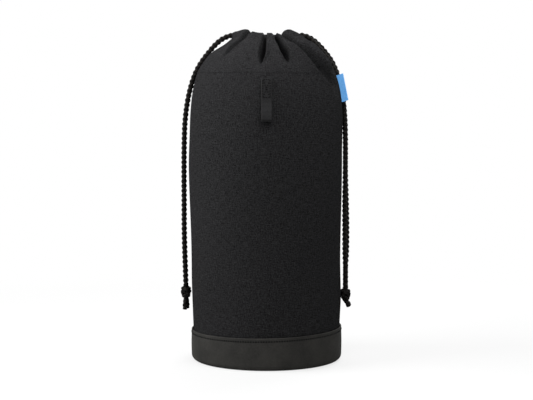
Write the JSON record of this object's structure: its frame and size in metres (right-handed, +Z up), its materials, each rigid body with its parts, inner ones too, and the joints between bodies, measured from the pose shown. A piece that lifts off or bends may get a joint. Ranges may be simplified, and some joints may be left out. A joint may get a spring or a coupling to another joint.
{
  "type": "drawstring lens pouch",
  "caption": "Soft padded cylindrical pouch with a wrapped base, a gathered drawstring collar that opens, knotted side cords, a webbing hang loop and a folded side label.",
  "frame": {"origin": "middle of the flat underside of the sole", "axes": "+Z up along the pouch, -Y to the front with the webbing loop, +X to the side with the label"},
  "size_m": [0.1316, 0.1246, 0.247],
  "materials": {
    "cover_cloth": "matt black fine plain weave",
    "foam": "soft closed-cell foam sheet",
    "lining_cloth": "soft brushed lining",
    "leatherette": "smooth dull black leatherette",
    "board": "stiff base board",
    "thread": "black sewing thread",
    "webbing": "narrow ribbed webbing",
    "label": "plain blue woven label",
    "cord": "round braided cord"
  },
  "bodies": {
    "pouch": {"base_band": "leatherette", "base_sole": "leatherette", "base_board": "board", "base_pad": "foam", "base_lining": "lining_cloth", "body_cover": "cover_cloth", "body_padding": "foam", "body_lining": "lining_cloth", "hem_stitch": "thread", "band_stitch": "thread", "loop_sewn_end": "webbing", "loop_stitch": "thread", "left_cord_front": "cord", "left_cord_back": "cord", "right_cord_front": "cord", "right_cord_back": "cord", "left_knot": "cord", "right_knot": "cord"},
    "ridge_1": {"collar_ridge_1": "cover_cloth", "casing_cord_1": "cord"},
    "ridge_2": {"collar_ridge_2": "cover_cloth", "casing_cord_2": "cord"},
    "ridge_3": {"collar_ridge_3": "cover_cloth", "casing_cord_3": "cord"},
    "ridge_4": {"collar_ridge_4": "cover_cloth", "casing_cord_4": "cord"},
    "ridge_5": {"collar_ridge_5": "cover_cloth", "casing_cord_5": "cord"},
    "ridge_6": {"collar_ridge_6": "cover_cloth", "casing_cord_6": "cord"},
    "ridge_7": {"collar_ridge_7": "cover_cloth", "casing_cord_7": "cord"},
    "ridge_8": {"collar_ridge_8": "cover_cloth", "casing_cord_8": "cord"},
    "pleat_1": {"collar_pleat_1": "cover_cloth"},
    "pleat_2": {"collar_pleat_2": "cover_cloth"},
    "pleat_3": {"collar_pleat_3": "cover_cloth"},
    "pleat_4": {"collar_pleat_4": "cover_cloth"},
    "pleat_5": {"collar_pleat_5": "cover_cloth"},
    "pleat_6": {"collar_pleat_6": "cover_cloth"},
    "pleat_7": {"collar_pleat_7": "cover_cloth"},
    "pleat_8": {"collar_pleat_8": "cover_cloth"},
    "loop": {"hang_loop": "webbing"},
    "label": {"side_label": "label"}
  },
  "joints": [
    {"name": "mouth_open", "type": "hinge", "parent": "pouch", "child": "ridge_1", "pos_m": [-0.02717, -0.04434, 0.217], "axis": [0.8526, -0.5225, 0], "range_deg": [0, 45], "deforming": ["left_cord_front", "left_cord_back", "right_cord_front", "right_cord_back"]},
    {"name": "ridge_2_open", "type": "hinge", "parent": "pouch", "child": "ridge_2", "pos_m": [0.00408, -0.05184, 0.217], "axis": [0.9969, 0.0785, 0], "range_deg": [0, 45]},
    {"name": "ridge_3_open", "type": "hinge", "parent": "pouch", "child": "ridge_3", "pos_m": [0.03129, -0.04153, 0.217], "axis": [0.7986, 0.6018, 0], "range_deg": [0, 45]},
    {"name": "ridge_4_open", "type": "hinge", "parent": "pouch", "child": "ridge_4", "pos_m": [0.05155, -0.00679, 0.217], "axis": [0.1305, 0.9914, 0], "range_deg": [0, 45]},
    {"name": "ridge_5_open", "type": "hinge", "parent": "pouch", "child": "ridge_5", "pos_m": [0.04041, 0.03272, 0.217], "axis": [-0.6293, 0.7771, 0], "range_deg": [0, 45]},
    {"name": "ridge_6_open", "type": "hinge", "parent": "pouch", "child": "ridge_6", "pos_m": [0.00363, 0.05187, 0.217], "axis": [-0.9976, 0.0698, 0], "range_deg": [0, 45]},
    {"name": "ridge_7_open", "type": "hinge", "parent": "pouch", "child": "ridge_7", "pos_m": [-0.03741, 0.03612, 0.217], "axis": [-0.6947, -0.7193, 0], "range_deg": [0, 45]},
    {"name": "ridge_8_open", "type": "hinge", "parent": "pouch", "child": "ridge_8", "pos_m": [-0.05155, -0.00679, 0.217], "axis": [0.1305, -0.9914, 0], "range_deg": [0, 45]},
    {"name": "pleat_1_unfold", "type": "hinge", "parent": "pouch", "child": "pleat_1", "pos_m": [-0.0416, -0.02701, 0.217], "axis": [0.5446, -0.8387, 0], "range_deg": [0, 44]},
    {"name": "pleat_2_unfold", "type": "hinge", "parent": "pouch", "child": "pleat_2", "pos_m": [-0.00519, -0.04933, 0.217], "axis": [0.9945, -0.1045, 0], "range_deg": [0, 52]},
    {"name": "pleat_3_unfold", "type": "hinge", "parent": "pouch", "child": "pleat_3", "pos_m": [0.01284, -0.04791, 0.217], "axis": [0.9659, 0.2588, 0], "range_deg": [0, 60]},
    {"name": "pleat_4_unfold", "type": "hinge", "parent": "pouch", "child": "pleat_4", "pos_m": [0.04251, -0.02555, 0.217], "axis": [0.515, 0.8572, 0], "range_deg": [0, 44]},
    {"name": "pleat_5_unfold", "type": "hinge", "parent": "pouch", "child": "pleat_5", "pos_m": [0.04768, 0.01367, 0.217], "axis": [-0.2756, 0.9613, 0], "range_deg": [0, 52]},
    {"name": "pleat_6_unfold", "type": "hinge", "parent": "pouch", "child": "pleat_6", "pos_m": [0.02329, 0.04379, 0.217], "axis": [-0.8829, 0.4695, 0], "range_deg": [0, 60]},
    {"name": "pleat_7_unfold", "type": "hinge", "parent": "pouch", "child": "pleat_7", "pos_m": [-0.01696, 0.04661, 0.217], "axis": [-0.9397, -0.342, 0], "range_deg": [0, 44]},
    {"name": "pleat_8_unfold", "type": "hinge", "parent": "pouch", "child": "pleat_8", "pos_m": [-0.04717, 0.01533, 0.217], "axis": [-0.309, -0.9511, 0], "range_deg": [0, 52]},
    {"name": "loop_lift", "type": "hinge", "parent": "pouch", "child": "loop", "pos_m": [0, -0.05941, 0.19795], "axis": [-1, 0, 0], "range_deg": [0, 100]},
    {"name": "label_flap", "type": "hinge", "parent": "pouch", "child": "label", "pos_m": [0.05751, -0.00605, 0.1935], "axis": [-0.1856, 0.0195, 0.9824], "range_deg": [-50, 50], "stiffness_Nm_per_rad": 0.00005}
  ],
  "couplings": [
    {"joint": "ridge_2_open", "follows": "mouth_open", "ratio": 1},
    {"joint": "ridge_3_open", "follows": "mouth_open", "ratio": 1},
    {"joint": "ridge_4_open", "follows": "mouth_open", "ratio": 1},
    {"joint": "ridge_5_open", "follows": "mouth_open", "ratio": 1},
    {"joint": "ridge_6_open", "follows": "mouth_open", "ratio": 1},
    {"joint": "ridge_7_open", "follows": "mouth_open", "ratio": 1},
    {"joint": "ridge_8_open", "follows": "mouth_open", "ratio": 1},
    {"joint": "pleat_1_unfold", "follows": "mouth_open", "ratio": 0.9777},
    {"joint": "pleat_2_unfold", "follows": "mouth_open", "ratio": 1.1555},
    {"joint": "pleat_3_unfold", "follows": "mouth_open", "ratio": 1.3333},
    {"joint": "pleat_4_unfold", "follows": "mouth_open", "ratio": 0.9777},
    {"joint": "pleat_5_unfold", "follows": "mouth_open", "ratio": 1.1555},
    {"joint": "pleat_6_unfold", "follows": "mouth_open", "ratio": 1.3333},
    {"joint": "pleat_7_unfold", "follows": "mouth_open", "ratio": 0.9777},
    {"joint": "pleat_8_unfold", "follows": "mouth_open", "ratio": 1.1555}
  ]
}
